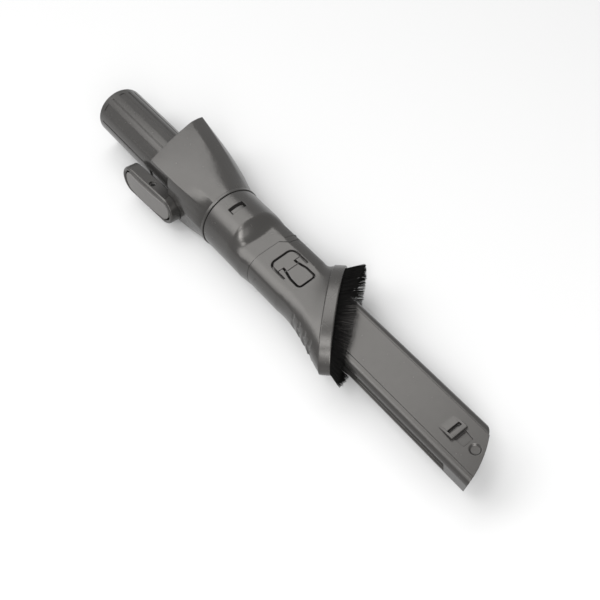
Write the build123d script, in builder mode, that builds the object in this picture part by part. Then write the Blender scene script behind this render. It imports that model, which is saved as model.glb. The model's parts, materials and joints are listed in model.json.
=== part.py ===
from build123d import *
from math import cos, sin, tan, atan2, degrees, hypot, radians
import os

# Crevice tool with a sliding oval brush, plugged onto a fluted inlet connector.
# X runs along the air path, from the free end of the inlet tube (origin) to the nozzle tip.
# Z is up and Y is across, all lengths in millimetres.

os.makedirs("parts", exist_ok=True)

# Sizes of the fluted inlet tube
tube_od = 34.8
tube_wall = 2.2
tube_free = 74.0
rim_plain = 4.0
grip_len = 51.4
tube_draft = 0.3
seam_turn = 4
flute_depth = 0.55
rail_clock = -92
rail_width = 7.5
rail_recess = 0.9
rail_gap = 8.0

# Flutes of the tube as clock angle from straight up and width across
flutes = [
    (10, 4.2),
    (29, 1.0),
    (46, 1.0),
    (63, 1.0),
    (150, 1.0),
    (180, 4.2),
    (-14, 0.8),
    (-39, 6.4),
    (-75, 0.9),
    (-109, 0.9),
]

# Sizes of the flared hood
hood_len = 63.0
hood_wall = 2.6
hood_crown = 0.04
waist_back = 39.0
mouth_slant = 14.5
bulkhead_len = 26.0
socket_len = 18.0
socket_fit = 0.05
cutout_y = -12.0
cutout_top = 2.4
tube_clear = 0.4

# Sizes of the round joint between connector and tool
collar_r = 21.3
collar_len = 25.0
collar_wall = 2.6
flange_r = 21.9
flange_len = 2.2
throat_r = 21.0
seam_chamfer = 0.5
slip_fit = 0.1
spigot_len = 22.0
spigot_end_gap = 1.0
window_x = 9.9
window_len = 5.2
window_half = 5.4
window_side = 0.6
tooth_gap = 0.9
tooth_drop = 1.7
seal_width = 2.4
seal_depth = 1.3
seal_end = 3.0

# Hood outline at the mouth and at the waist, corners as (y, z) clockwise from the top right
mouth_corners = [
    (21.5, 23.2),
    (31.0, 19.3),
    (32.0, 9.0),
    (26.0, -12.0),
    (18.0, -collar_r),
    (-15.0, -collar_r),
    (-22.0, -14.0),
    (-21.5, 2.0),
    (-20.5, 12.0),
    (-17.6, 22.0),
]
waist_corners = [
    (15.2, 21.8),
    (25.0, 17.0),
    (28.8, 9.0),
    (23.5, -12.0),
    (15.0, -collar_r),
    (-15.0, -collar_r),
    (-22.0, -14.0),
    (-21.5, 2.0),
    (-20.5, 12.0),
    (-17.6, 21.9),
]
seam_clocks = [20, 45, 75, 120, 155, 205, 240, 280, 310, 338]

# Sizes of the neck that goes from round to flat
neck_len = 21.7
neck_end_r = 20.4
neck_top = 13.8
ramp_lead = 1.0
ramp_len = 13.5
ramp_steps = [(0, 0), (0.2, 0.08), (0.5, 0.52), (0.8, 0.93), (1, 1)]

# Sizes of the crevice nozzle
nozzle_half_w = 16.0
nozzle_half_h = 9.5
nozzle_wall = 1.9
nozzle_len = 179.8
nozzle_root = 10.0
top_half = 11.2
bead_drop = 0.8
side_r = 4.2
guide_depth = 1.4
guide_half = 4.0
guide_stop = 12.5
hollow_round = 2.0
tip_slant = 16.5
tip_bulge = 2.6

# Sizes of the latch near the nozzle tip
catch_back = 28.0
catch_len = 10.6
catch_half = 5.6
catch_height = 2.0
fin_width = 1.4
bar_width = 2.6
catch_slot = 2.6
catch_slot_depth = 1.2
catch_ramp = 1.0
recess_len = 6.4
recess_half = 3.9
recess_taper = 0.6
recess_depth = 1.2
dimple_r = 3.4
dimple_depth = 1.0
dimple_floor_r = 2.5
dimple_back = 6.0

# Sizes of the sliding brush
slide_gap = 0.35
housing_r = 20.3
housing_flat = 14.0
flat_half = 9.5
shoulder_clock = 60
sleeve_len = 27.0
rear_wall = 7.2
housing_wall = 2.2
guide_wall = 1.4
channel_half = 6.2
key_start = 28.05
key_len = 8.0
relief_start = 5.7
relief_len = 4.9
relief_floor = 9.9
grip_first = 18.5
grip_pitch = 7.0
grip_count = 4
grip_r = 3.0
grip_bite = 0.8
grip_growth = 0.25
ring_mid = 57.9
ring_angle = 42.8
ring_long = 37.0
ring_high = 17.6
ring_band = 7.4
ring_wall = 2.2
ring_round = 0.8
ring_ledge = 1.4
flare_inset = 1.0
flare_steps = [(0.59, 1.5, -0.1, 0.17), (0.83, 2.6, 0.7, 0.49)]
carrier_sink = 2.4
carrier_thick = 2.6
carrier_fit = 0.1
bristle_len = 14.0
bristle_spread = 1.8
tuft_r = 1.0
tuft_pitch = 2.4
tuft_rows = 2
lean_right = 17
lean_left = 45
lean_high = 13

# Sizes of the release button cut into the housing
button_back = 10.6
button_half = 8.0
button_corner = 3.4
plate_len = 6.9
tongue_half = 3.7
head_half = 5.4
tongue_waist = 9.0
head_len = 15.4
slot_width = 1.4
arm_len = 7.0
part_gap = 0.3
button_thick = 1.9
stub_x = 9.6
stub_r = 0.6
stub_drop = 1.1
stub_len = 2.0
stub_fit = 0.05
hook_len = 3.0
tongue_line_x = 10.6
tongue_line = 0.5
tongue_line_depth = 0.4

# Sizes of the side rocker unit
bezel_len = 56.8
bezel_high = 19.8
bezel_thick = 8.6
bezel_floor = 1.8
bezel_bevel = 0.9
pocket_rim = 2.8
pad_gap = 0.5
pad_end_gap = 1.0
pad_proud = 1.2
pad_end_drop = 1.6
pad_under = 4.2
pad_bevel = 0.8
pin_r = 1.3
pin_x = 2.6
pin_depth = 4.1
pin_sink = 1.0
pin_recess_r = 2.4
pin_fit = 0.05
boss_wall = 1.0
spring_gap = 0.15
spring_wall = 0.6
spring_len = 4.6
spring_room = 0.4
bezel_tilt = 12.7
bezel_yaw = 2.8
bezel_ahead = 6.6
bezel_out = 30.0
bezel_drop = 1.1
pedestal_len = 20.0
pedestal_high = 13.0
pedestal_thick = 4.4
screw_r = 1.25
screw_head_r = 2.2
screw_head_len = 1.0
screw_len = 4.8
screw_end = 9.8
screw_pitch = 10.0
screw_fit = 0.05

# Stations and radii that follow from the sizes
tube_r = tube_od / 2
duct_r = tube_r - tube_wall
tube_seat_r = tube_r - tube_draft
seam_x = tube_free + hood_len
bulkhead_x = seam_x - bulkhead_len
tube_end = bulkhead_x + socket_len
waist_x = seam_x - waist_back
hood_top = max(z for y, z in mouth_corners)
hood_right = max(y for y, z in mouth_corners)
mouth_x = tube_free - hood_right * tan(radians(mouth_slant)) - hood_wall
throat_x = seam_x - flange_len
spigot_r = collar_r - collar_wall - slip_fit
spigot_end = seam_x + spigot_len
neck_x = seam_x + collar_len
housing_x = neck_x + neck_len
nozzle_x = housing_x - nozzle_root
tip_right = nozzle_x + nozzle_len
tip_left = tip_right + tip_slant
tip_mid = tip_right + tip_slant / 2 + tip_bulge
stop_x = tip_mid - guide_stop
catch_x = tip_mid - catch_back
catch_end = catch_x + catch_len
hollow_half_w = nozzle_half_w - guide_depth - nozzle_wall
hollow_half_h = nozzle_half_h - nozzle_wall
sleeve_end = housing_x + sleeve_len
shell_under = housing_flat - housing_wall
guide_reach = slide_gap + guide_wall
key_x = housing_x + key_start
ramp_x = neck_x - ramp_lead
ramp_end = ramp_x + ramp_len
neck_grow = neck_end_r - housing_r
carrier_front = ring_band / 2 - carrier_sink
carrier_back = carrier_front - carrier_thick
button_x = housing_x + button_back
plate_end = button_x + plate_len
tongue_end = button_x + tongue_waist + head_len
stub_z = housing_flat - stub_drop
screw_mid = bezel_len / 2 - screw_end - screw_pitch / 2
screw_spots = [(screw_mid - screw_pitch / 2, 0), (screw_mid + screw_pitch / 2, 0)]

# Planes of the slanted ring and of the rocker unit, both with their local y pointing up
ring_normal = (cos(radians(ring_angle)), sin(radians(ring_angle)), 0)
ring_across = (-sin(radians(ring_angle)), cos(radians(ring_angle)), 0)
ring_plane = Plane(origin=(housing_x + ring_mid, 0, 0), x_dir=ring_across, z_dir=ring_normal)
yaw = radians(bezel_yaw)
tilt = radians(bezel_tilt)
bezel_plane = Plane(
    origin=(tube_free + bezel_ahead, -bezel_out, -bezel_drop),
    x_dir=(cos(yaw), sin(yaw), 0),
    z_dir=(sin(yaw) * cos(tilt), -cos(yaw) * cos(tilt), sin(tilt)),
)
bezel_back = bezel_plane.offset(-bezel_thick)
pin_plane = Plane(
    origin=bezel_plane.from_local_coords((pin_x, 0, -pin_depth)),
    x_dir=bezel_plane.x_dir,
    z_dir=-bezel_plane.y_dir,
)
slant = radians(mouth_slant)
mouth_plane = Plane(origin=(tube_free, 0, 0), z_dir=(cos(slant), sin(slant), 0))


def crowned_sides(corners, crowns):
    """Start, middle and end of one outward arc per side of a clockwise outline"""
    sides = []
    for (y0, z0), (y1, z1), crown in zip(corners, corners[1:] + corners[:1], crowns):
        middle = ((y0 + y1) / 2 - crown * (z1 - z0), (z0 + z1) / 2 + crown * (y1 - y0))
        sides.append(((y0, z0), middle, (y1, z1)))
    return sides


def oval_sides(half_w, half_h, clocks):
    """Start, middle and end of the arcs of an oval split at the given clock angles"""
    sides = []
    for first, last in zip(clocks, clocks[1:] + [clocks[0] + 360]):
        turns = [radians(clock) for clock in (first, (first + last) / 2, last)]
        sides.append([(half_w * sin(turn), half_h * cos(turn)) for turn in turns])
    return sides


def blend_sides(first, last, upper, lower):
    """Sides between two outlines with as many sides, by one share above the middle and one below"""
    sides = []
    for one, other in zip(first, last):
        side = []
        for (y0, z0), (y1, z1) in zip(one, other):
            share = upper if z0 > 0 else lower
            side.append((y0 + share * (y1 - y0), z0 + share * (z1 - z0)))
        sides.append(side)
    return sides


# Clock angles of the eight corners that the sleeve shares with the ring
flat_clock = degrees(atan2(flat_half, housing_flat))
quarter = [flat_clock, shoulder_clock]
half_turn = quarter + [180 - clock for clock in reversed(quarter)]
ring_clocks = half_turn + [180 + clock for clock in half_turn]
side_crown = tan(radians(180 - 2 * shoulder_clock) / 4) / 2
corner_crown = side_crown / 2
flat_crown = side_crown / 50
sleeve_crowns = [corner_crown, side_crown, corner_crown, flat_crown] * 2


def sleeve_sides(radius, half_h):
    """Sides of the sleeve section: flat top and bottom, round sides"""
    shoulder = radians(shoulder_clock)
    flat_y = half_h * flat_half / housing_flat
    right = [
        (flat_y, half_h),
        (radius * sin(shoulder), radius * cos(shoulder)),
        (radius * sin(shoulder), -radius * cos(shoulder)),
        (flat_y, -half_h),
    ]
    return crowned_sides(right + [(-y, z) for y, z in reversed(right)], sleeve_crowns)


def throat_sides(radius):
    """Sides of the hood where it meets the flange: round, with one flat facet on the upper left"""
    turns = [radians(clock) for clock in seam_clocks]
    corners = [(radius * sin(turn), radius * cos(turn)) for turn in turns]
    steps = [after - before for before, after in zip(turns, turns[1:] + [turns[0] + radians(360)])]
    crowns = [tan(step / 4) / 2 for step in steps]
    (y0, z0), (y1, z1) = corners[-3], corners[-1]
    corners[-2] = ((y0 + y1) / 2, (z0 + z1) / 2)
    crowns[-3:-1] = [hood_crown / 2, hood_crown / 2]
    return crowned_sides(corners, crowns)


def flare_sections(inset):
    """Plane and sides of each section of the flare, drawn in by the inset"""
    sleeve = sleeve_sides(housing_r - inset, housing_flat - inset)
    oval_w = ring_long - flare_inset - inset
    oval = oval_sides(oval_w, ring_high - flare_inset - inset, ring_clocks)
    sections = [(Plane.YZ.offset(sleeve_end), sleeve)]
    for bend, ahead, out, spread in flare_steps:
        turn = radians(bend * ring_angle)
        half_w = housing_r - inset + spread * (oval_w - housing_r + inset)
        section_x = sleeve_end + ahead + half_w * sin(turn)
        section_y = housing_r - inset + out - half_w * cos(turn)
        plane = Plane(
            origin=(section_x, section_y, 0),
            x_dir=(-sin(turn), cos(turn), 0),
            z_dir=(cos(turn), sin(turn), 0),
        )
        sections.append((plane, blend_sides(sleeve, oval, spread, spread)))
    sections.append((ring_plane.offset(-ring_band / 2), oval))
    return sections


# Inlet tube, turned so that the seam of its round faces lies between two flutes
with BuildPart() as inlet_tube:
    with BuildSketch(Plane.XY.rotated((seam_turn, 0, 0))):
        Polygon(
            (0, duct_r),
            (0, tube_r),
            (grip_len, tube_r),
            (bulkhead_x, tube_seat_r),
            (tube_end, tube_seat_r),
            (tube_end, duct_r),
            align=None,
        )
    revolve(axis=Axis.X)
    # Flutes from the plain rim to just short of the socket
    with BuildSketch(Plane.YZ.offset(rim_plain)):
        for clock, width in flutes:
            with PolarLocations(tube_r, 1, start_angle=90 - clock):
                Rectangle(2 * flute_depth, width)
    extrude(amount=bulkhead_x - 2 * rim_plain, mode=Mode.SUBTRACT)
    # Recess beyond the end of the left rail
    with BuildSketch(Plane.YZ.offset(tube_free - rail_gap)):
        with PolarLocations(tube_r, 1, start_angle=90 - rail_clock):
            Rectangle(2 * rail_recess, rail_width)
    extrude(amount=bulkhead_x - tube_free - rail_gap, mode=Mode.SUBTRACT)
inlet_tube.part.label = "inlet_tube"
export_step(inlet_tube.part, "parts/inlet_tube.step")

# Space inside the hood, from the mouth to the bulkhead
with BuildPart() as hood_space:
    with BuildSketch(Plane.YZ.offset(mouth_x)):
        with BuildLine():
            for start, middle, end in crowned_sides(mouth_corners, [hood_crown] * len(mouth_corners)):
                ThreePointArc(start, middle, end)
        make_face()
        offset(amount=-hood_wall)
    with BuildSketch(Plane.YZ.offset(waist_x)):
        with BuildLine():
            for start, middle, end in crowned_sides(waist_corners, [hood_crown] * len(waist_corners)):
                ThreePointArc(start, middle, end)
        make_face()
        offset(amount=-hood_wall)
    with BuildSketch(Plane.YZ.offset(throat_x)):
        with BuildLine():
            for start, middle, end in throat_sides(throat_r - hood_wall):
                ThreePointArc(start, middle, end)
        make_face()
    loft()
    split(bisect_by=Plane.YZ.offset(bulkhead_x), keep=Keep.BOTTOM)

# Connector body: hood, tube socket, round spigot and the seat of the rocker unit
with BuildPart() as connector_body:
    with BuildSketch(Plane.YZ.offset(mouth_x)):
        with BuildLine():
            for start, middle, end in crowned_sides(mouth_corners, [hood_crown] * len(mouth_corners)):
                ThreePointArc(start, middle, end)
        make_face()
    with BuildSketch(Plane.YZ.offset(waist_x)):
        with BuildLine():
            for start, middle, end in crowned_sides(waist_corners, [hood_crown] * len(waist_corners)):
                ThreePointArc(start, middle, end)
        make_face()
    with BuildSketch(Plane.YZ.offset(throat_x)):
        with BuildLine():
            for start, middle, end in throat_sides(throat_r):
                ThreePointArc(start, middle, end)
        make_face()
    loft()
    with BuildSketch(Plane.YZ.offset(throat_x)):
        Circle(flange_r)
    extrude(amount=flange_len)
    add(hood_space.part, mode=Mode.SUBTRACT)
    # Open left side under the edge of the roof
    with Locations((mouth_x, cutout_y, hood_top - cutout_top)):
        Box(
            waist_x - mouth_x,
            hood_right,
            2 * hood_right,
            align=(Align.MIN, Align.MAX, Align.MAX),
            mode=Mode.SUBTRACT,
        )
    # Flat foot and slanted mouth
    split(bisect_by=Plane.XY.offset(-collar_r), keep=Keep.TOP)
    split(bisect_by=mouth_plane, keep=Keep.TOP)
    # Seat of the rocker unit, a block on the left wall with the outline of the bezel let in
    with BuildSketch(bezel_back):
        with Locations((screw_mid, 0)):
            Rectangle(pedestal_len, pedestal_high)
    extrude(amount=-pedestal_thick)
    with BuildSketch(bezel_back):
        SlotOverall(bezel_len + 2 * pad_gap, bezel_high + 2 * pad_gap)
    extrude(amount=2 * bezel_thick, mode=Mode.SUBTRACT)
    with BuildSketch(bezel_back):
        with Locations(screw_spots):
            Circle(screw_r + screw_fit)
    extrude(amount=-pedestal_thick, mode=Mode.SUBTRACT)
    with BuildSketch(Plane.YZ.offset(mouth_x)):
        Circle(tube_r + tube_clear)
    extrude(amount=bulkhead_x - mouth_x, mode=Mode.SUBTRACT)
    # Spigot with its seal groove and the tooth that shows in the collar
    with BuildSketch(Plane.YZ.offset(seam_x)):
        Circle(spigot_r)
    extrude(amount=spigot_len)
    with BuildSketch(Plane.YZ.offset(spigot_end - seal_end)):
        Circle(spigot_r)
        Circle(spigot_r - seal_depth, mode=Mode.SUBTRACT)
    extrude(amount=-seal_width, mode=Mode.SUBTRACT)
    with BuildSketch(Plane.YZ.offset(seam_x + window_x + tooth_gap)):
        Circle(collar_r - tooth_drop)
        with Locations((window_side, spigot_r)):
            Rectangle(2 * (window_half - tooth_gap), collar_r, mode=Mode.INTERSECT)
    extrude(amount=window_len - 2 * tooth_gap)
    # Tube socket and air duct
    with BuildSketch(Plane.YZ.offset(bulkhead_x)):
        Circle(tube_seat_r + socket_fit)
    extrude(amount=socket_len, mode=Mode.SUBTRACT)
    with BuildSketch(Plane.YZ.offset(tube_end)):
        Circle(duct_r)
    extrude(amount=spigot_end - tube_end, mode=Mode.SUBTRACT)
connector_body.part.label = "connector_body"
export_step(connector_body.part, "parts/connector_body.step")

# Seal ring in the groove of the spigot
with BuildPart() as spigot_seal:
    with BuildSketch(Plane.YZ.offset(spigot_end - seal_end)):
        Circle(collar_r - collar_wall)
        Circle(spigot_r - seal_depth, mode=Mode.SUBTRACT)
    extrude(amount=-seal_width)
spigot_seal.part.label = "spigot_seal"
export_step(spigot_seal.part, "parts/spigot_seal.step")

# Section of the nozzle, drawn as (y, z)
with BuildSketch() as nozzle_outline:
    with BuildLine():
        Polyline(
            (0, nozzle_half_h),
            (top_half, nozzle_half_h),
            (top_half, nozzle_half_h - bead_drop),
            (nozzle_half_w - side_r, nozzle_half_h - bead_drop),
        )
        RadiusArc(
            (nozzle_half_w - side_r, nozzle_half_h - bead_drop),
            (nozzle_half_w, nozzle_half_h - bead_drop - side_r),
            side_r,
        )
        Polyline(
            (nozzle_half_w, nozzle_half_h - bead_drop - side_r),
            (nozzle_half_w, 0),
            (0, 0),
            (0, nozzle_half_h),
        )
    make_face()
    mirror(about=Plane.XZ)
    mirror(about=Plane.YZ)

# Corner of the neck that reaches into the relief of the brush housing
with BuildPart() as neck_corner:
    with BuildSketch(Plane.YZ.offset(housing_x)):
        with BuildLine():
            for start, middle, end in sleeve_sides(housing_r, neck_top):
                ThreePointArc(start, middle, end)
        make_face()
    extrude(amount=relief_len - slide_gap)
    with BuildSketch(Plane.XY.offset(relief_floor + slide_gap)):
        Polygon(
            (housing_x, relief_start + slide_gap / cos(radians(45))),
            (housing_x + relief_len, relief_start + relief_len + slide_gap / cos(radians(45))),
            (housing_x + relief_len, 2 * housing_r),
            (housing_x, 2 * housing_r),
            align=None,
        )
    extrude(amount=housing_flat, mode=Mode.INTERSECT)

# Collar and neck in one moulding
with BuildPart() as tool_collar:
    with BuildSketch(Plane.YZ.offset(seam_x)):
        Circle(collar_r)
    extrude(amount=ramp_x - seam_x)
    chamfer(tool_collar.edges().sort_by(Axis.X)[0], seam_chamfer)
    # Ramp down to the flat top, then the neck with its rising underside
    round_neck = oval_sides(collar_r, collar_r, ring_clocks)
    flat_neck = sleeve_sides(neck_end_r, neck_top)
    for ahead, fall in ramp_steps:
        with BuildSketch(Plane.YZ.offset(ramp_x + ahead * ramp_len)):
            with BuildLine():
                for start, middle, end in blend_sides(round_neck, flat_neck, fall, 0):
                    ThreePointArc(start, middle, end)
            make_face()
    loft()
    for station, rise in [(ramp_end, 0), (housing_x, 1)]:
        with BuildSketch(Plane.YZ.offset(station)):
            with BuildLine():
                for start, middle, end in blend_sides(round_neck, flat_neck, 1, rise):
                    ThreePointArc(start, middle, end)
            make_face()
    loft()
    add(neck_corner.part)
    # Bore for the spigot, its window and the duct down to the nozzle
    with BuildSketch(Plane.YZ.offset(seam_x)):
        Circle(collar_r - collar_wall)
    extrude(amount=spigot_len + spigot_end_gap, mode=Mode.SUBTRACT)
    with BuildSketch(Plane.YZ.offset(seam_x + window_x)):
        with Locations((window_side, 0)):
            Rectangle(2 * window_half, collar_r, align=(Align.CENTER, Align.MIN))
    extrude(amount=window_len, mode=Mode.SUBTRACT)
    with BuildSketch(Plane.YZ.offset(spigot_end + spigot_end_gap)):
        RectangleRounded(2 * duct_r, 2 * duct_r, duct_r - hollow_round)
    with BuildSketch(Plane.YZ.offset(nozzle_x)):
        RectangleRounded(2 * hollow_half_w, 2 * hollow_half_h, hollow_round)
    loft(mode=Mode.SUBTRACT)
    with BuildSketch(Plane.YZ.offset(nozzle_x)):
        add(nozzle_outline.sketch)
        offset(amount=socket_fit)
    extrude(amount=nozzle_root, mode=Mode.SUBTRACT)
tool_collar.part.label = "tool_collar"
export_step(tool_collar.part, "parts/tool_collar.step")

# Crevice nozzle
with BuildPart() as nozzle:
    with BuildSketch(Plane.YZ.offset(nozzle_x)):
        add(nozzle_outline.sketch)
    extrude(amount=tip_left - nozzle_x)
    # Latch: two fins that rise to a cross bar, a ramp between them and a slot behind the bar
    with BuildSketch(Plane.XZ):
        Polygon(
            (catch_x, nozzle_half_h),
            (catch_end - bar_width, nozzle_half_h + catch_height),
            (catch_end, nozzle_half_h + catch_height),
            (catch_end, nozzle_half_h - nozzle_wall),
            (catch_x, nozzle_half_h - nozzle_wall),
            align=None,
        )
    extrude(amount=catch_half, both=True)
    with BuildSketch(Plane.XZ):
        Polygon(
            (catch_x, nozzle_half_h),
            (catch_end - bar_width - catch_slot, nozzle_half_h + catch_ramp),
            (catch_end - bar_width - catch_slot, nozzle_half_h - catch_slot_depth),
            (catch_end - bar_width, nozzle_half_h - catch_slot_depth),
            (catch_end - bar_width, nozzle_half_h + 2 * catch_height),
            (catch_x, nozzle_half_h + 2 * catch_height),
            align=None,
        )
    extrude(amount=catch_half - fin_width, both=True, mode=Mode.SUBTRACT)
    # Pocket and dimple ahead of the latch
    with BuildSketch(Plane.XY.offset(nozzle_half_h)):
        Polygon(
            (catch_end, -recess_half),
            (catch_end + recess_len, -recess_half + recess_taper),
            (catch_end + recess_len, recess_half - recess_taper),
            (catch_end, recess_half),
            align=None,
        )
    extrude(amount=-recess_depth, mode=Mode.SUBTRACT)
    with Locations((tip_mid - dimple_back, 0, nozzle_half_h)):
        Cone(
            dimple_floor_r,
            dimple_r,
            dimple_depth,
            align=(Align.CENTER, Align.CENTER, Align.MAX),
            mode=Mode.SUBTRACT,
        )
    # Guide grooves along both sides, closed before the tip
    with BuildSketch(Plane.YZ.offset(nozzle_x)):
        with Locations((nozzle_half_w, 0), (-nozzle_half_w, 0)):
            Rectangle(2 * guide_depth, 2 * guide_half)
    extrude(amount=stop_x - nozzle_x, mode=Mode.SUBTRACT)
    # Air duct and the slanted, slightly bowed mouth
    with BuildSketch(Plane.YZ.offset(nozzle_x)):
        RectangleRounded(2 * hollow_half_w, 2 * hollow_half_h, hollow_round)
    extrude(amount=tip_left - nozzle_x, mode=Mode.SUBTRACT)
    with BuildSketch(Plane.XY):
        with BuildLine():
            ThreePointArc((tip_left, -nozzle_half_w), (tip_mid, 0), (tip_right, nozzle_half_w))
            Polyline(
                (tip_right, nozzle_half_w),
                (nozzle_x, nozzle_half_w),
                (nozzle_x, -nozzle_half_w),
                (tip_left, -nozzle_half_w),
            )
        make_face()
    extrude(amount=nozzle_half_w, both=True, mode=Mode.INTERSECT)
nozzle.part.label = "nozzle"
export_step(nozzle.part, "parts/nozzle.step")

# Release button: rear plate and tongue, drawn flat on the top of the housing
with BuildSketch() as plate_plan:
    with Locations((button_x, 0)):
        Rectangle(plate_len, 2 * button_half, align=(Align.MIN, Align.CENTER))
    fillet(plate_plan.vertices().group_by(Axis.X)[0], button_corner)
with BuildSketch() as tongue_plan:
    Polygon(
        (button_x, -tongue_half),
        (button_x + tongue_waist, -tongue_half),
        (button_x + tongue_waist + head_len / 2, -head_half),
        (tongue_end, -head_half),
        (tongue_end, head_half),
        (button_x + tongue_waist + head_len / 2, head_half),
        (button_x + tongue_waist, tongue_half),
        (button_x, tongue_half),
        align=None,
    )
    fillet(tongue_plan.vertices().group_by(Axis.X)[-1], head_half - tongue_half)

# Passage of the nozzle with room to slide, and the channel that its latch runs in
with BuildPart() as passage:
    with BuildSketch(Plane.YZ.offset(housing_x)):
        add(nozzle_outline.sketch)
        offset(amount=slide_gap)
    extrude(amount=2 * ring_mid)
    with BuildSketch(Plane.YZ.offset(plate_end)):
        Rectangle(2 * channel_half, shell_under, align=(Align.CENTER, Align.MIN))
    extrude(amount=2 * ring_mid)

# Space between the shell of the housing and the guide round the nozzle
with BuildPart() as shell_space:
    with BuildSketch(Plane.YZ.offset(housing_x + rear_wall)):
        with BuildLine():
            for start, middle, end in sleeve_sides(housing_r - housing_wall, shell_under):
                ThreePointArc(start, middle, end)
        make_face()
    extrude(amount=sleeve_len - rear_wall)
    for plane, sides in flare_sections(housing_wall):
        with BuildSketch(plane):
            with BuildLine():
                for start, middle, end in sides:
                    ThreePointArc(start, middle, end)
            make_face()
    loft()
    with BuildSketch(Plane.YZ.offset(housing_x)):
        add(nozzle_outline.sketch)
        offset(amount=guide_reach)
    extrude(amount=2 * ring_mid, mode=Mode.SUBTRACT)

# Line along the left side of the flare that the finger grips follow
flare_left = [
    plane.from_local_coords((min(y for start, (y, z), end in sides), 0, 0)) for plane, sides in flare_sections(0)
]

# Brush housing: sleeve and flare, sliding on the nozzle
with BuildPart() as brush_housing:
    with BuildSketch(Plane.YZ.offset(housing_x)):
        with BuildLine():
            for start, middle, end in sleeve_sides(housing_r, housing_flat):
                ThreePointArc(start, middle, end)
        make_face()
    extrude(amount=sleeve_len)
    for plane, sides in flare_sections(0):
        with BuildSketch(plane):
            with BuildLine():
                for start, middle, end in sides:
                    ThreePointArc(start, middle, end)
            make_face()
    loft()
    add(shell_space.part, mode=Mode.SUBTRACT)
    add(passage.part, mode=Mode.SUBTRACT)
    # Keys that run in the guide grooves and stop the slide
    with BuildSketch(Plane.YZ.offset(key_x)):
        with Locations((nozzle_half_w, 0), (-nozzle_half_w, 0)):
            Rectangle(2 * (guide_depth - slide_gap), 2 * (guide_half - slide_gap))
    extrude(amount=key_len)
    # Relief at the right rear corner
    with BuildSketch(Plane.XY.offset(relief_floor)):
        Polygon(
            (housing_x, relief_start),
            (housing_x + relief_len, relief_start + relief_len),
            (housing_x + relief_len, housing_r),
            (housing_x, housing_r),
            align=None,
        )
    extrude(amount=housing_flat, mode=Mode.SUBTRACT)
    # Slots round the button
    with BuildSketch(Plane.XY.offset(shell_under)):
        add(plate_plan.sketch)
        offset(amount=slot_width)
        with Locations((plate_end + part_gap, 0)):
            Rectangle(
                2 * slot_width,
                2 * housing_r,
                align=(Align.MIN, Align.CENTER),
                mode=Mode.SUBTRACT,
            )
    extrude(amount=2 * housing_wall, mode=Mode.SUBTRACT)
    with BuildSketch(Plane.XY.offset(shell_under)):
        add(tongue_plan.sketch)
        offset(amount=slot_width)
    extrude(amount=2 * housing_wall, mode=Mode.SUBTRACT)
    with BuildSketch(Plane.XY.offset(shell_under)):
        arm_y = button_half + slot_width / 2
        with Locations((plate_end, arm_y), (plate_end, -arm_y)):
            Rectangle(arm_len, slot_width, align=(Align.MIN, Align.CENTER))
    extrude(amount=2 * housing_wall, mode=Mode.SUBTRACT)
    # Holes for the stubs of the button
    with BuildSketch(Plane.XZ):
        with Locations((button_x + stub_x, stub_z)):
            Circle(stub_r + stub_fit)
    extrude(amount=tongue_half + slot_width + stub_len + stub_fit, both=True, mode=Mode.SUBTRACT)
    # Finger grips on the left side, deeper toward the ring
    with BuildLine():
        grip_line = Spline(*flare_left)
    for grip in range(grip_count):
        ahead = grip_first + grip * grip_pitch
        spot = grip_line.position_at(ahead, position_mode=PositionMode.LENGTH)
        bite = grip_bite + grip * grip_growth
        with Locations((spot.X, spot.Y + bite - grip_r, 0)):
            Cylinder(grip_r, 2 * housing_r, mode=Mode.SUBTRACT)
brush_housing.part.label = "brush_housing"
export_step(brush_housing.part, "parts/brush_housing.step")

# Release button with its stubs and the hook at the end of the tongue
with BuildPart() as release_button:
    with BuildSketch(Plane.XY.offset(housing_flat)):
        add(plate_plan.sketch)
        add(tongue_plan.sketch)
    extrude(amount=-button_thick)
    with BuildSketch(Plane.XY.offset(shell_under)):
        with Locations((tongue_end, 0)):
            Rectangle(hook_len, 2 * tongue_half, align=(Align.MAX, Align.CENTER))
    extrude(amount=housing_wall - button_thick)
    with Locations((button_x + tongue_line_x, 0, housing_flat)):
        Box(tongue_line, 2 * tongue_half, 2 * tongue_line_depth, mode=Mode.SUBTRACT)
    with BuildSketch(Plane.XZ):
        with Locations((button_x + stub_x, stub_z)):
            Circle(stub_r)
    extrude(amount=tongue_half + slot_width + stub_len, both=True)
release_button.part.label = "release_button"
export_step(release_button.part, "parts/release_button.step")

# Oval ring at the end of the flare
with BuildPart() as brush_ring:
    with BuildSketch(ring_plane.offset(-ring_band / 2)):
        Ellipse(ring_long, ring_high)
    extrude(amount=ring_band)
    fillet(brush_ring.edges().filter_by(GeomType.ELLIPSE), ring_round)
    # Seat of the bristle carrier and the smaller opening behind it
    with BuildSketch(ring_plane.offset(carrier_back)):
        Ellipse(ring_long - ring_wall, ring_high - ring_wall)
    extrude(amount=ring_band, mode=Mode.SUBTRACT)
    with BuildSketch(ring_plane.offset(-ring_band / 2)):
        Ellipse(ring_long - ring_wall - ring_ledge, ring_high - ring_wall - ring_ledge)
    extrude(amount=ring_band, mode=Mode.SUBTRACT)
brush_ring.part.label = "brush_ring"
export_step(brush_ring.part, "parts/brush_ring.step")

# Plate that carries the bristles
with BuildPart() as bristle_carrier:
    with BuildSketch(ring_plane.offset(carrier_back)):
        Ellipse(ring_long - ring_wall - carrier_fit, ring_high - ring_wall - carrier_fit)
    extrude(amount=carrier_thick)
    add(passage.part, mode=Mode.SUBTRACT)
bristle_carrier.part.label = "bristle_carrier"
export_step(bristle_carrier.part, "parts/bristle_carrier.step")

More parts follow.
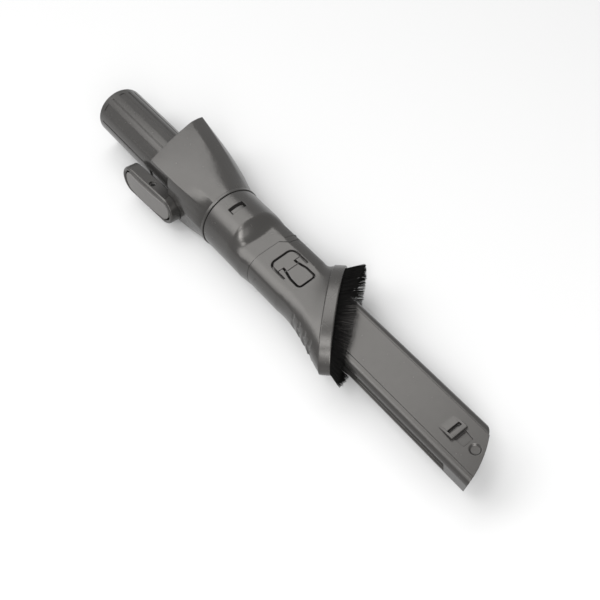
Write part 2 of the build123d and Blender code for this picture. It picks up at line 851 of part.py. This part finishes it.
# Tufts in two oval rows that lean outward, kept where they clear the nozzle and its latch
row_right = ring_long - ring_wall - tuft_r - carrier_sink * tan(radians(lean_right)) - slide_gap
row_left = ring_long - ring_wall - tuft_r - carrier_sink * tan(radians(lean_left)) - slide_gap
row_half = (row_right + row_left) / 2
row_mid = (row_right - row_left) / 2
row_high = ring_high - ring_wall - tuft_r - carrier_sink * tan(radians(lean_high)) - carrier_fit
tuft_room = tuft_r + slide_gap
tuft_plane = ring_plane.offset(carrier_front)


def clears_nozzle(point):
    """Whether a tuft round this point stays off the body of the nozzle, its flat faces and its latch"""
    y, z = abs(point.Y), abs(point.Z)
    corner = hypot(max(y - nozzle_half_w + side_r, 0), max(z - nozzle_half_h + bead_drop + side_r, 0))
    off_body = corner > side_r + tuft_room
    off_face = y > top_half + tuft_room or z > nozzle_half_h + tuft_room
    off_latch = point.Z < 0 or y > catch_half + tuft_room or z > nozzle_half_h + catch_height + tuft_room
    return off_body and off_face and off_latch


tufts = []
for row in range(tuft_rows):
    with BuildSketch() as row_plan:
        with Locations((row_mid, 0)):
            Ellipse(row_half - row * tuft_pitch, row_high - row * tuft_pitch)
    path = row_plan.edge()
    count = round(path.length / tuft_pitch)
    for spot in range(count):
        place = path @ (spot / count)
        along = (place.X - row_mid) / row_half
        side_lean = radians(along * (lean_right if along > 0 else lean_left))
        side_dir = Vector(*ring_normal) * cos(side_lean) + Vector(*ring_across) * sin(side_lean)
        tuft_dir = side_dir + Vector(0, 0, tan(radians(lean_high)) * place.Y / row_high)
        reach = (bristle_len + bristle_spread * along) / cos(side_lean)
        foot = tuft_plane.from_local_coords(place)
        if all(clears_nozzle(foot + tuft_dir * reach * share) for share in (0, 1 / 4, 1 / 2, 3 / 4, 1)):
            tufts.append((place, tuft_dir, reach))
with BuildPart() as bristles:
    for place, tuft_dir, reach in tufts:
        with BuildSketch(tuft_plane):
            with Locations(place):
                RegularPolygon(tuft_r, 6)
        extrude(amount=reach, dir=tuft_dir)
bristles.part.label = "bristles"
export_step(bristles.part, "parts/bristles.step")

# Bezel of the rocker unit, a deep tray with rounded ends
pocket_len = bezel_len - 2 * pocket_rim
pocket_high = bezel_high - 2 * pocket_rim
floor_plane = bezel_back.offset(bezel_floor)
with BuildPart() as rocker_bezel:
    with BuildSketch(bezel_back):
        SlotOverall(bezel_len, bezel_high)
    extrude(amount=bezel_thick)
    with BuildSketch(floor_plane):
        SlotOverall(pocket_len, pocket_high)
    extrude(amount=bezel_thick, mode=Mode.SUBTRACT)
    chamfer(rocker_bezel.faces().sort_by(Axis(bezel_plane.origin, bezel_plane.z_dir))[-1].edges(), bezel_bevel)
    # Bore of the pin through both long rims
    with BuildSketch(pin_plane):
        Circle(pin_r + pin_fit)
    extrude(amount=bezel_high, both=True, mode=Mode.SUBTRACT)
    for side in (1, -1):
        with BuildSketch(pin_plane.offset(side * (bezel_high / 2 - pin_sink))):
            Circle(pin_recess_r)
        extrude(amount=side * pin_sink, mode=Mode.SUBTRACT)
    # Countersunk holes in the floor
    with Locations(floor_plane):
        with Locations(screw_spots):
            Cylinder(
                screw_r + screw_fit,
                bezel_floor,
                align=(Align.CENTER, Align.CENTER, Align.MAX),
                mode=Mode.SUBTRACT,
            )
            Cone(
                screw_r + screw_fit,
                screw_head_r + screw_fit,
                screw_head_len,
                align=(Align.CENTER, Align.CENTER, Align.MAX),
                mode=Mode.SUBTRACT,
            )
rocker_bezel.part.label = "rocker_bezel"
export_step(rocker_bezel.part, "parts/rocker_bezel.step")

# Countersunk screws that hold the bezel on its seat
with BuildPart() as bezel_screws:
    with Locations(floor_plane):
        with Locations(screw_spots):
            Cylinder(screw_r, screw_len, align=(Align.CENTER, Align.CENTER, Align.MAX))
            Cone(screw_r, screw_head_r, screw_head_len, align=(Align.CENTER, Align.CENTER, Align.MAX))
bezel_screws.part.label = "bezel_screws"
export_step(bezel_screws.part, "parts/bezel_screws.step")

# Pin that the pad rocks on
with BuildPart() as rocker_pin:
    with BuildSketch(pin_plane):
        Circle(pin_r)
    extrude(amount=bezel_high / 2 - pin_sink, both=True)
rocker_pin.part.label = "rocker_pin"
export_step(rocker_pin.part, "parts/rocker_pin.step")

# Spring sleeve round the middle of the pin
spring_r = pin_r + spring_gap + spring_wall
with BuildPart() as rocker_spring:
    with BuildSketch(pin_plane):
        Circle(spring_r)
        Circle(pin_r + spring_gap, mode=Mode.SUBTRACT)
    extrude(amount=spring_len / 2, both=True)
rocker_spring.part.label = "rocker_spring"
export_step(rocker_spring.part, "parts/rocker_spring.step")

# Rocking pad with a crowned face, its boss on the pin and the room for the spring
pad_half = pocket_len / 2 - pad_end_gap
with BuildPart() as rocker_pad:
    with BuildSketch(bezel_plane.offset(-pad_under)):
        SlotOverall(2 * pad_half, pocket_high - 2 * pad_gap)
    extrude(amount=pad_under + pad_proud)
    with BuildSketch(Plane(origin=bezel_plane.origin, x_dir=bezel_plane.x_dir, z_dir=-bezel_plane.y_dir)):
        with BuildLine():
            ThreePointArc(
                (-pad_half, pad_proud - pad_end_drop),
                (0, pad_proud),
                (pad_half, pad_proud - pad_end_drop),
            )
            Polyline(
                (pad_half, pad_proud - pad_end_drop),
                (pad_half, -pad_under),
                (-pad_half, -pad_under),
                (-pad_half, pad_proud - pad_end_drop),
            )
        make_face()
    extrude(amount=pocket_high, both=True, mode=Mode.INTERSECT)
    with BuildSketch(pin_plane):
        Circle(pin_r + pin_fit + boss_wall)
    extrude(amount=pocket_high / 2 - pad_gap, both=True)
    with BuildSketch(pin_plane):
        Circle(spring_r + spring_room)
        Rectangle(
            2 * (spring_r + spring_room),
            bezel_thick,
            align=(Align.CENTER, Align.MAX),
        )
    extrude(amount=spring_len / 2 + spring_room, both=True, mode=Mode.SUBTRACT)
    with BuildSketch(pin_plane):
        Circle(pin_r + pin_fit)
    extrude(amount=pocket_high, both=True, mode=Mode.SUBTRACT)
rocker_pad.part.label = "rocker_pad"
export_step(rocker_pad.part, "parts/rocker_pad.step")
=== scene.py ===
# %% [markdown]
# # A crevice tool with a sliding brush
# The part comes out of the CAD program as plain solids with sharp edges. This lesson gives them
# what a moulded plastic part really has: rounded edges, a satin skin, dark gaps and real bristles.
# Everything is in metres, in the frame of the CAD model: X along the air path, Z up. Left and right
# are meant as in the picture, so left is toward -Y.

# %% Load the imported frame
import bpy
import json
import math
import random
from mathutils import Matrix, Vector


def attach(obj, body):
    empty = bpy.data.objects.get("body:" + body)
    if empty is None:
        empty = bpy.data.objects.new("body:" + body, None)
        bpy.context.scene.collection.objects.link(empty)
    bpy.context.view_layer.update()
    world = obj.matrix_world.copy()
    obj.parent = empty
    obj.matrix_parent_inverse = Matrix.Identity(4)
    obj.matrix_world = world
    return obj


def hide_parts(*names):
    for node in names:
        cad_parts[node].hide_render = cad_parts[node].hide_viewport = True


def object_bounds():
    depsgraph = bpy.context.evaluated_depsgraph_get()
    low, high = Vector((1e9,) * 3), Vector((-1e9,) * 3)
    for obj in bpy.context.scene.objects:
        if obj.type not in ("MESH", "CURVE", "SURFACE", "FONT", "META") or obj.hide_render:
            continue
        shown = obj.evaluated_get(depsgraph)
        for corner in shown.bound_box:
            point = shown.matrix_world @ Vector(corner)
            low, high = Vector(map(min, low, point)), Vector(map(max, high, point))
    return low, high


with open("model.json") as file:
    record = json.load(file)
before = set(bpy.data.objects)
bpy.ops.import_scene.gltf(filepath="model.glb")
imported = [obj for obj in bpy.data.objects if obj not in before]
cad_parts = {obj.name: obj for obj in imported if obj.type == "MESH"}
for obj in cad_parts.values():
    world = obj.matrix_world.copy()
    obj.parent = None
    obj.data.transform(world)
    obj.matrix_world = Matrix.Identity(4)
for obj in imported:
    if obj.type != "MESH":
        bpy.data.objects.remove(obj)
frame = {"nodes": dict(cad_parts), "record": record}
cad_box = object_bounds()
nodes = frame["nodes"]
MM = 0.001

# %% [markdown]
# ## Camera, floor and light
# The photograph looks down along the tool from the nozzle end, with a lens a little longer than
# normal. A camera is only a place, a turn and a lens: its turn is written here as the three
# directions that run right, up and backward in the picture.

# %% Camera of the photograph
camera_place = Vector((0.4957, -0.1593, 0.4473))
camera_right = Vector((0.611, 0.783, -0.112))
camera_up = Vector((-0.608, 0.556, 0.568))
camera_back = Vector((0.507, -0.279, 0.816))
lens_mm = 55.16
camera_data = bpy.data.cameras.new("camera")
camera_data.lens = lens_mm
camera_data.sensor_width = 36.0
camera_data.clip_start = 0.01
camera = bpy.data.objects.new("camera", camera_data)
bpy.context.scene.collection.objects.link(camera)
turn = Matrix((camera_right, camera_up, camera_back)).transposed()
camera.matrix_world = Matrix.Translation(camera_place) @ turn.to_4x4()
bpy.context.scene.camera = camera
print("camera distance", round(camera_place.length, 3))

# %% [markdown]
# The floor is one large flat sheet of pale paper. It touches the lowest point of the part, so that
# the contact shadows are right, and it reaches so far that its edges stay out of the photograph's
# view. Only a view from near the floor shows its far edge.

# %% Paper floor
floor_z = cad_box[0][2]
sheet_side = 6.0
sheet_middle_x = 0.18


def clear_selection():
    """Nothing stays selected, so that an operator acts only on the new piece."""
    if bpy.context.object and bpy.context.object.mode != "OBJECT":
        bpy.ops.object.mode_set(mode="OBJECT")
    bpy.ops.object.select_all(action="DESELECT")


clear_selection()
bpy.ops.mesh.primitive_plane_add(size=sheet_side, location=(sheet_middle_x, 0.0, floor_z))
sweep = bpy.context.object
sweep.name = "paper_sweep"
bpy.ops.object.transform_apply(location=True, rotation=True, scale=True)
print("floor at", round(floor_z, 4))

# %% [markdown]
# A satin part is drawn by what it reflects. One large softbox hangs where the flat tops and the
# upper left faces mirror it, so the faces that turn to the right stay dark. A small strip just
# below it brightens the upper left faces once more. Two small lamps give the short highlights on
# the neck and on the ring, and a box at the nozzle's end lights the faces that look forward. Area
# lights are used because a part this smooth would mirror a bare lamp as a hard white spot.

# %% Soft studio lights
scene_middle = Vector((0.2, 0.0, 0.0))


def soft_light(name, direction, first_side, distance, size, radiance):
    """A lit panel that faces the tool from one direction, with its first side along a given line."""
    data = bpy.data.lights.new(name, "AREA")
    data.shape = "RECTANGLE"
    data.size, data.size_y = size
    data.energy = radiance * math.pi * size[0] * size[1]
    light = bpy.data.objects.new(name, data)
    bpy.context.scene.collection.objects.link(light)
    away = Vector(direction).normalized()
    side = (Vector(first_side) - away * away.dot(Vector(first_side))).normalized()
    turn = Matrix((side, away.cross(side), away)).transposed()
    light.matrix_world = Matrix.Translation(scene_middle + away * distance) @ turn.to_4x4()
    print(name, "at", [round(v, 2) for v in light.location], round(data.energy, 1), "W")


soft_light(
    "softbox",
    direction=(-0.507, -0.121, 0.852),
    first_side=(0.0, 0.99, 0.142),
    distance=1.4,
    size=(2.23, 0.9),
    radiance=3.75,
)
soft_light(
    "strip",
    direction=(-0.507, -0.446, 0.737),
    first_side=(0.0, 0.855, 0.518),
    distance=1.35,
    size=(0.5, 0.8),
    radiance=1.4,
)
soft_light(
    "neck_lamp",
    direction=(0.45, -0.42, 0.79),
    first_side=(0.0, 1.0, 0.0),
    distance=1.4,
    size=(0.45, 0.38),
    radiance=14.0,
)
soft_light(
    "ring_lamp",
    direction=(0.05, -0.32, 0.94),
    first_side=(0.0, 1.0, 0.0),
    distance=1.4,
    size=(0.38, 0.38),
    radiance=10.0,
)
soft_light(
    "front_box",
    direction=(0.75, -0.35, 0.55),
    first_side=(0.0, 1.0, 0.0),
    distance=1.4,
    size=(1.0, 0.6),
    radiance=8.0,
)

# %% [markdown]
# The shadows on the paper are soft and pale, because light also comes from the walls of the room.
# A plain white world all round does the same. It is weaker than the lights, so that the faces that
# turn away from them stay dark.

# %% White surroundings
world_strength = 0.75
world = bpy.data.worlds.new("studio")
bpy.context.scene.world = world
world.use_nodes = True
background = world.node_tree.nodes["Background"]
background.inputs["Color"].default_value = (1.0, 1.0, 1.0, 1.0)
background.inputs["Strength"].default_value = world_strength
bpy.context.scene.view_settings.view_transform = "Standard"
print("world strength", world_strength)

# %% [markdown]
# ## Finishes
# A finish is a small network of nodes. Written out node by node it is hard to read, so one class
# wraps an output socket and lets sums and products of patterns be written as plain arithmetic.

# %% Arithmetic on sockets
class Wire:
    """An output socket that adds a Math node when it is used in a sum or a product."""

    def __init__(self, tree, socket):
        self.tree = tree
        self.socket = socket

    def add(self, kind, settings, sockets, out=0):
        """One node of the given kind: its settings first, then the values or links of its sockets."""
        node = self.tree.nodes.new(kind)
        for name, value in settings.items():
            setattr(node, name, value)
        for name, value in sockets.items():
            if isinstance(value, Wire):
                self.tree.links.new(value.socket, node.inputs[name])
            else:
                node.inputs[name].default_value = value
        return Wire(self.tree, node.outputs[out])

    def worked_out(self, operation, first, second):
        """The wire that carries the result of one Math node."""
        return self.add("ShaderNodeMath", {"operation": operation}, {0: first, 1: second})

    def __add__(self, other):
        return self.worked_out("ADD", self, other)

    def __radd__(self, other):
        return self.worked_out("ADD", other, self)

    def __mul__(self, other):
        return self.worked_out("MULTIPLY", self, other)

    def __rmul__(self, other):
        return self.worked_out("MULTIPLY", other, self)


def new_finish(name):
    """A material with its surface node, and a wire that carries the place on the object."""
    material = bpy.data.materials.new(name)
    material.use_nodes = True
    tree = material.node_tree
    surface = tree.nodes["Principled BSDF"]
    place = Wire(tree, None).add("ShaderNodeTexCoord", {}, {}, out="Object")
    return material, surface, place


def join(wire, surface, name):
    """Link a wire to one socket of the surface."""
    wire.tree.links.new(wire.socket, surface.inputs[name])


# %% [markdown]
# Satin moulded plastic is never one flat grey. It has a faint cloudiness from the mould flow, a
# fine spark-eroded grain that blurs the highlights, and a roughness that changes a little from
# handling. Each of the three is one noise at its own scale, and the first two swing evenly about
# the finish's own value. Its reflections are a little warm.

# %% Satin moulded plastic
warm_reflection = (1.0, 0.97, 0.93, 1.0)
cloud_scale = 42.0
marks_scale = 310.0
grain_scale = 2600.0
swing = 0.12


def moulded_plastic(name, grey, warmth, roughness, grain_depth):
    """Satin plastic of a given grey, with clouding, handling marks and fine grain."""
    material, surface, place = new_finish(name)
    surface.inputs["Specular Tint"].default_value = warm_reflection
    cloud = place.add("ShaderNodeTexNoise", {}, {"Vector": place, "Scale": cloud_scale, "Detail": 4.0})
    marks = place.add("ShaderNodeTexNoise", {}, {"Vector": place, "Scale": marks_scale, "Detail": 6.0})
    grain = place.add("ShaderNodeTexNoise", {}, {"Vector": place, "Scale": grain_scale, "Detail": 2.0})
    shade = (1 - swing / 2) + swing * cloud
    tint = place.add(
        "ShaderNodeMix",
        {"data_type": "RGBA", "blend_type": "MULTIPLY"},
        {0: 1.0, 6: (grey * warmth, grey, grey / warmth, 1.0), 7: shade},
        out=2,
    )
    join(tint, surface, "Base Color")
    join((roughness - swing / 2) + swing * marks, surface, "Roughness")
    bump = place.add(
        "ShaderNodeBump", {}, {"Strength": grain_depth, "Distance": 0.1 * MM, "Height": grain}
    )
    join(bump, surface, "Normal")
    return material


# %% [markdown]
# The mouldings share that finish with other greys. The pad beside the hood is lighter and more
# matt, the bristles swallow nearly all light, and the pin and screws are dark steel. The pin's
# dark grey is also painted shade: its flush end stands for the shade of a deep hole in the bezel.

# %% One finish for each material of the part
grey_plastic = moulded_plastic("grey_plastic", grey=0.018, warmth=1.04, roughness=0.25, grain_depth=0.12)
ring_plastic = moulded_plastic("ring_plastic", grey=0.020, warmth=1.04, roughness=0.26, grain_depth=0.12)
pad_plastic = moulded_plastic("pad_plastic", grey=0.085, warmth=1.03, roughness=0.5, grain_depth=0.2)
dark_plastic = moulded_plastic("dark_plastic", grey=0.012, warmth=1.0, roughness=0.6, grain_depth=0.3)
bristle_fibre = moulded_plastic("bristle_fibre", grey=0.002, warmth=1.0, roughness=0.7, grain_depth=0.0)
bristle_fibre.node_tree.nodes["Principled BSDF"].inputs["Specular IOR Level"].default_value = 0.08
seal_rubber = moulded_plastic("seal_rubber", grey=0.02, warmth=1.0, roughness=0.65, grain_depth=0.4)
# Dark steel, darkened further as painted shade, so that the pin's end in the bezel reads as a deep hole.
pin_steel = moulded_plastic("pin_steel", grey=0.015, warmth=1.0, roughness=0.4, grain_depth=0.1)
pin_steel.node_tree.nodes["Principled BSDF"].inputs["Metallic"].default_value = 1.0
finishes = {
    "grey_plastic": grey_plastic,
    "ring_plastic": ring_plastic,
    "pad_plastic": pad_plastic,
    "dark_plastic": dark_plastic,
    "bristle_fibre": bristle_fibre,
    "seal_rubber": seal_rubber,
    "pin_steel": pin_steel,
}
slot_of = {row["node"]: row["material_slot"] for row in frame["record"]["subparts"]}
for name, node in nodes.items():
    node.data.materials.clear()
    node.data.materials.append(finishes[slot_of[name]])
print("finishes:", sorted(finishes))

# %% [markdown]
# The paper is plain and dull. The lights are strong, so a middle grey is bright enough for it, and
# the shadows beside the tool stay visible.

# %% Paper
paper_grey = 0.43
paper = bpy.data.materials.new("paper")
paper.use_nodes = True
paper_surface = paper.node_tree.nodes["Principled BSDF"]
paper_surface.inputs["Base Color"].default_value = (paper_grey, paper_grey, paper_grey, 1.0)
paper_surface.inputs["Roughness"].default_value = 0.9
paper_surface.inputs["Specular IOR Level"].default_value = 0.1
sweep.data.materials.append(paper)
print("paper grey", paper_grey)

# %% [markdown]
# ## Rounded mouldings
# No moulded edge is sharp: a thin bright line runs along each one. Every hard piece is copied from
# its solid, its loose triangles are merged, its flat areas are dissolved into whole faces and a
# Bevel modifier rounds the edges that turn sharply. The copy then takes the solid's place. The
# edges could be rounded in the CAD program too, but the thin ones fail there. Weighted normals keep
# the flat faces flat beside their rounded edges. The button's plate, which deep slots cut into,
# would not fill as one whole face, so the button keeps its triangles.

# %% Copy a solid and round its edges
merge_mm = 0.002
flat_within = 0.5
rounded_above = 24
keeps_triangles = ["release_button"]
body_of_node = {}
for body, names in frame["record"]["behaviour"]["bodies"].items():
    for name in names:
        body_of_node[name] = body


def rounded_copy(name, width, crease, reshape):
    """Show a copy of a solid in its place, with its edges rounded by a width in millimetres.

    The copy is smooth up to the crease angle in degrees. The reshape function, if there is one,
    changes the copy before its edges are rounded.
    """
    clear_selection()
    piece = bpy.data.objects.new(name + "_moulding", nodes[name].data.copy())
    bpy.context.scene.collection.objects.link(piece)
    bpy.context.view_layer.objects.active = piece
    piece.select_set(True)
    bpy.ops.object.mode_set(mode="EDIT")
    bpy.ops.mesh.select_all(action="SELECT")
    bpy.ops.mesh.remove_doubles(threshold=merge_mm * MM)
    if name not in keeps_triangles:
        bpy.ops.mesh.dissolve_limited(angle_limit=math.radians(flat_within))
    bpy.ops.object.mode_set(mode="OBJECT")
    if reshape:
        reshape(piece)
    bevel = piece.modifiers.new("edge rounding", "BEVEL")
    bevel.width = width * MM
    bevel.segments = 2
    bevel.limit_method = "ANGLE"
    bevel.angle_limit = math.radians(rounded_above)
    bevel.use_clamp_overlap = False
    bpy.ops.object.modifier_apply(modifier=bevel.name)
    bpy.ops.object.shade_smooth_by_angle(angle=math.radians(crease))
    flat = piece.modifiers.new("flat faces stay flat", "WEIGHTED_NORMAL")
    flat.keep_sharp = True
    flat.weight = 100
    bpy.ops.object.modifier_apply(modifier=flat.name)
    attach(piece, body_of_node[name])
    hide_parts(name)
    print(piece.name, len(piece.data.polygons), "faces")


# %% [markdown]
# The mouth of the nozzle is undercut: its lower lip stands back from the upper one, so that from
# above little of the opening shows. In plan the mouth is a shallow bow between its right and its
# left end. The points on that bow slide back in proportion to how far they lie below the top, and
# more to the right than to the left. A slanted cut would do too, but moving the points that are
# already there leaves the walls as they are.

# %% Undercut of the nozzle's mouth
nozzle_half_w = 16.0
nozzle_half_h = 9.5
mouth_right_x = 353.5
mouth_left_x = 370.0
mouth_bulge = 2.6
mouth_reach = 0.25
undercut_left = math.tan(math.radians(12))
undercut_right = math.tan(math.radians(30))


def set_lip_back(piece):
    """Slide the points of the mouth's rim back, more the lower they are."""
    moved = 0
    for vertex in piece.data.vertices:
        x, y, z = vertex.co / MM
        share = (y + nozzle_half_w) / (2 * nozzle_half_w)
        chord = mouth_left_x + share * (mouth_right_x - mouth_left_x)
        rim = chord + 4 * mouth_bulge * share * (1 - share)
        if abs(x - rim) < mouth_reach:
            undercut = undercut_left + share * (undercut_right - undercut_left)
            vertex.co.x -= (nozzle_half_h - z) * undercut * MM
            moved += 1
    print("mouth points moved:", moved)


# %% [markdown]
# The finger grips climb from the left side of the flare up its shoulder. Each is carried on by a
# second scoop that leans with the wall. On a curved wall a scoop is easiest to make as a Boolean
# cut by a cylinder that bites a little into it. A row says where the wall is at the height of the
# shoulder, along and across, how far it leans there in degrees, and how deep the cylinder bites.

# %% Scoops on the shoulder
grip_r = 3.0
scoop_len = 16.0
shoulder_z = 9.0
shoulder_scoops = (
    (229.135, -18.99, 23.0, 0.45),
    (236.015, -20.26, 23.2, 0.55),
    (242.828, -21.76, 24.3, 0.65),
    (249.602, -23.31, 26.6, 0.75),
)


def scoop_shoulder(piece):
    """Cut the leaning scoops into the shoulder of the flare."""
    for x, y, lean, bite in shoulder_scoops:
        tilt = math.radians(lean)
        away = grip_r - bite
        spot = Vector((x, y - away * math.cos(tilt), shoulder_z + away * math.sin(tilt)))
        clear_selection()
        bpy.ops.mesh.primitive_cylinder_add(
            vertices=48,
            radius=grip_r * MM,
            depth=scoop_len * MM,
            location=spot * MM,
            rotation=(-tilt, 0.0, 0.0),
        )
        bpy.ops.object.transform_apply(location=True, rotation=True, scale=True)
        cutter = bpy.context.object
        clear_selection()
        bpy.context.view_layer.objects.active = piece
        piece.select_set(True)
        cut = piece.modifiers.new("scoop", "BOOLEAN")
        cut.operation = "DIFFERENCE"
        cut.solver = "EXACT"
        cut.object = cutter
        bpy.ops.object.modifier_apply(modifier=cut.name)
        bpy.data.objects.remove(cutter)
    print("scoops cut, faces now", len(piece.data.polygons))


# %% [markdown]
# Nine pieces are rounded, the heavy mouldings more than the thin ones. Most stay smooth across
# edges of up to 15 degrees. The hood's facets meet at less, so its creases are kept from 7 degrees.

# %% Round the hard pieces
edge_widths = {
    "nozzle": 0.25,
    "brush_housing": 0.25,
    "tool_collar": 0.25,
    "connector_body": 0.3,
    "rocker_bezel": 0.3,
    "rocker_pad": 0.3,
    "release_button": 0.15,
    "inlet_tube": 0.15,
    "brush_ring": 0.1,
}
usual_crease = 15
creases = {"connector_body": 7}
reshapes = {"nozzle": set_lip_back, "brush_housing": scoop_shoulder}
for name, width in edge_widths.items():
    rounded_copy(name, width, creases.get(name, usual_crease), reshapes.get(name))

# %% [markdown]
# The finger grips on the left of the flare are scooped so deep that their floors run into the
# hollow behind the wall. Each deep grip gets its floor back: a short arc of the scoop's own radius,
# set just behind the wall. It starts as an open tube, keeps only the strip that lies deeper than
# the wall's outer face, and is given a thickness. A row has the scoop's axis and its bite.

# %% Floors of the finger grips
grip_axes = ((236.015, -24.138, 1.05), (242.828, -25.495, 1.30), (249.602, -27.006, 1.55))
grip_inward = Vector((0.216, 0.976, 0.0))
floor_len = 10.0
floor_wall = 0.35
floor_crease = 30
behind_wall = 0.03
below_face = 0.25
grip_floors = []
for axis_x, axis_y, bite in grip_axes:
    clear_selection()
    bpy.ops.mesh.primitive_cylinder_add(
        vertices=72, radius=(grip_r + behind_wall) * MM, depth=floor_len * MM, end_fill_type="NOTHING"
    )
    floor = bpy.context.object
    bpy.ops.object.mode_set(mode="EDIT")
    bpy.ops.mesh.select_all(action="DESELECT")
    bpy.ops.object.mode_set(mode="OBJECT")
    for face in floor.data.polygons:
        face.select = face.center.dot(grip_inward) < (grip_r - bite + below_face) * MM
    bpy.ops.object.mode_set(mode="EDIT")
    bpy.ops.mesh.delete(type="FACE")
    bpy.ops.mesh.select_all(action="SELECT")
    bpy.ops.transform.translate(value=(axis_x * MM, axis_y * MM, 0.0))
    bpy.ops.object.mode_set(mode="OBJECT")
    wall = floor.modifiers.new("thickness", "SOLIDIFY")
    wall.thickness = floor_wall * MM
    wall.offset = 1.0
    bpy.ops.object.modifier_apply(modifier=wall.name)
    grip_floors.append(floor)
clear_selection()
for floor in grip_floors:
    floor.select_set(True)
bpy.context.view_layer.objects.active = grip_floors[0]
bpy.ops.object.join()
grip_backing = bpy.context.object
grip_backing.name = "grip_floors"
bpy.ops.object.shade_smooth_by_angle(angle=math.radians(floor_crease))
grip_backing.data.materials.append(grey_plastic)
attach(grip_backing, "brush")
print("grip floors", len(grip_backing.data.polygons), "faces")

# %% [markdown]
# ## Bristles
# The brush is a dense band of nylon filaments in the mouth of the ring. They lean outward, most at
# the two ends, and end along a slightly ragged line. A hair system could grow them, but copies of
# one modelled filament can be kept clear of the nozzle one by one. It is tapered, one unit long and
# has its foot at the origin, so that each copy is stretched to its own length.

# %% One filament
ring_centre = Vector((241.6, 0.0, 0.0))
ring_turn = math.radians(42.8)
ring_ahead = Vector((math.cos(ring_turn), math.sin(ring_turn), 0.0))
ring_across = Vector((-math.sin(ring_turn), math.cos(ring_turn), 0.0))
upward = Vector((0.0, 0.0, 1.0))
foot_r = 0.15
tip_r = 0.07
clear_selection()
bpy.ops.mesh.primitive_cone_add(vertices=5, radius1=foot_r * MM, radius2=tip_r * MM, depth=1.0)
filament = bpy.context.object
filament.name = "filament"
bpy.ops.object.mode_set(mode="EDIT")
bpy.ops.mesh.select_all(action="SELECT")
bpy.ops.transform.translate(value=(0.0, 0.0, 0.5))
bpy.ops.object.mode_set(mode="OBJECT")
print("filament faces", len(filament.data.polygons))

# %% [markdown]
# The nozzle slides through the middle of the brush, so there no filament stands. In section the
# nozzle is a flat body with round corners, a raised face on its top and bottom, and a latch on top.

# %% Room for the nozzle
corner_y = 11.8
corner_z = 4.5
corner_r = 4.2
face_half_w = 11.2
latch_half_w = 5.6
latch_top = 11.5
nozzle_room = 0.3


def clears_nozzle(point):
    """Whether a filament at this point, in millimetres, stays off the nozzle and its latch."""
    y = abs(point.y)
    z = abs(point.z)
    corner = math.hypot(max(y - corner_y, 0.0), max(z - corner_z, 0.0))
    off_body = corner > corner_r + nozzle_room
    off_face = y > face_half_w + nozzle_room or z > nozzle_half_h + nozzle_room
    off_latch = point.z < 0 or y > latch_half_w + nozzle_room or z > latch_top + nozzle_room
    return off_body and off_face and off_latch


# %% [markdown]
# A share from -1 at the band's left end to 1 at its right end says how far a filament leans. The
# line of the tips dips a little right of the middle and falls off toward the left end. No two
# filaments are quite alike, so chance turns each a little and shortens or lengthens it.

# %% Lean and length along the band
band_half_w = 34.8
band_half_h = 15.4
lean_right = 17
lean_left = 50
lean_up = math.tan(math.radians(14))
lean_spread = 1.6
rise_spread = 0.03
full_reach = 14.2
dip_at = 0.45
dip_depth = 1.9
fall_from = -0.4
fall_rate = 3.0
shortest = 0.93
longest = 1.02
chance = random.Random(7)


def lean_of(share, up):
    """Direction of a filament, as long as one step ahead: outward to its end, and up or down."""
    most = lean_right if share > 0 else lean_left
    lean = math.radians(share * most + chance.gauss(0, lean_spread))
    rise = lean_up * up / band_half_h + chance.gauss(0, rise_spread)
    return ring_ahead * math.cos(lean) + ring_across * math.sin(lean) + upward * rise


def reach_of(share):
    """Length of a filament in millimetres, slightly ragged."""
    dip = max(1 - abs(share - dip_at) / dip_at, 0.0)
    even = full_reach - dip_depth * dip + fall_rate * min(share - fall_from, 0.0)
    return even * chance.uniform(shortest, longest)


# %% [markdown]
# The filaments stand on the carrier in seven close rows, ovals one inside the other. Along a row
# each one is shifted by chance within its own step. It is tested for room at five places from its
# foot to its tip, and left out where the nozzle or its latch would run through it.

# %% All filaments in their rows
carrier_front = 1.3
row_count = 7
first_inset = 0.45
row_pitch = 0.75
strand_pitch = 0.5
step_shift = 0.4
tested_parts = (0, 0.25, 0.5, 0.75, 1)
strands = []
for row in range(row_count):
    inset = first_inset + row_pitch * row
    half_w = band_half_w - inset
    half_h = band_half_h - inset
    count = round(math.pi * (half_w + half_h) / strand_pitch)
    for place in range(count):
        angle = 2 * math.pi * (place + chance.uniform(-step_shift, step_shift)) / count
        across = half_w * math.cos(angle)
        up = half_h * math.sin(angle)
        share = across / band_half_w
        direction = lean_of(share, up)
        reach = reach_of(share)
        foot = ring_centre + ring_across * across + upward * up + ring_ahead * carrier_front
        if not all(clears_nozzle(foot + direction * reach * part) for part in tested_parts):
            continue
        side = direction.cross(upward).normalized()
        other_side = direction.cross(side).normalized()
        turn = Matrix((side, other_side, direction * reach * MM)).transposed()
        strand = bpy.data.objects.new("strand", filament.data.copy())
        strand.data.transform(Matrix.Translation(foot * MM) @ turn.to_4x4())
        bpy.context.scene.collection.objects.link(strand)
        strands.append(strand)
bpy.data.objects.remove(filament)
print("filaments that clear the nozzle:", len(strands))

# %% [markdown]
# One mesh for the whole brush is easier to handle than over a thousand objects, so the filaments
# are joined. The band rides with the brush and takes the place of the solid tufts.

# %% Join the filaments
clear_selection()
for strand in strands:
    strand.select_set(True)
bpy.context.view_layer.objects.active = strands[0]
bpy.ops.object.join()
brush_hair = bpy.context.object
brush_hair.name = "brush_filaments"
brush_hair.data.materials.append(bristle_fibre)
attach(brush_hair, "brush")
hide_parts("bristles")
print(len(strands), "filaments,", len(brush_hair.data.polygons), "faces")
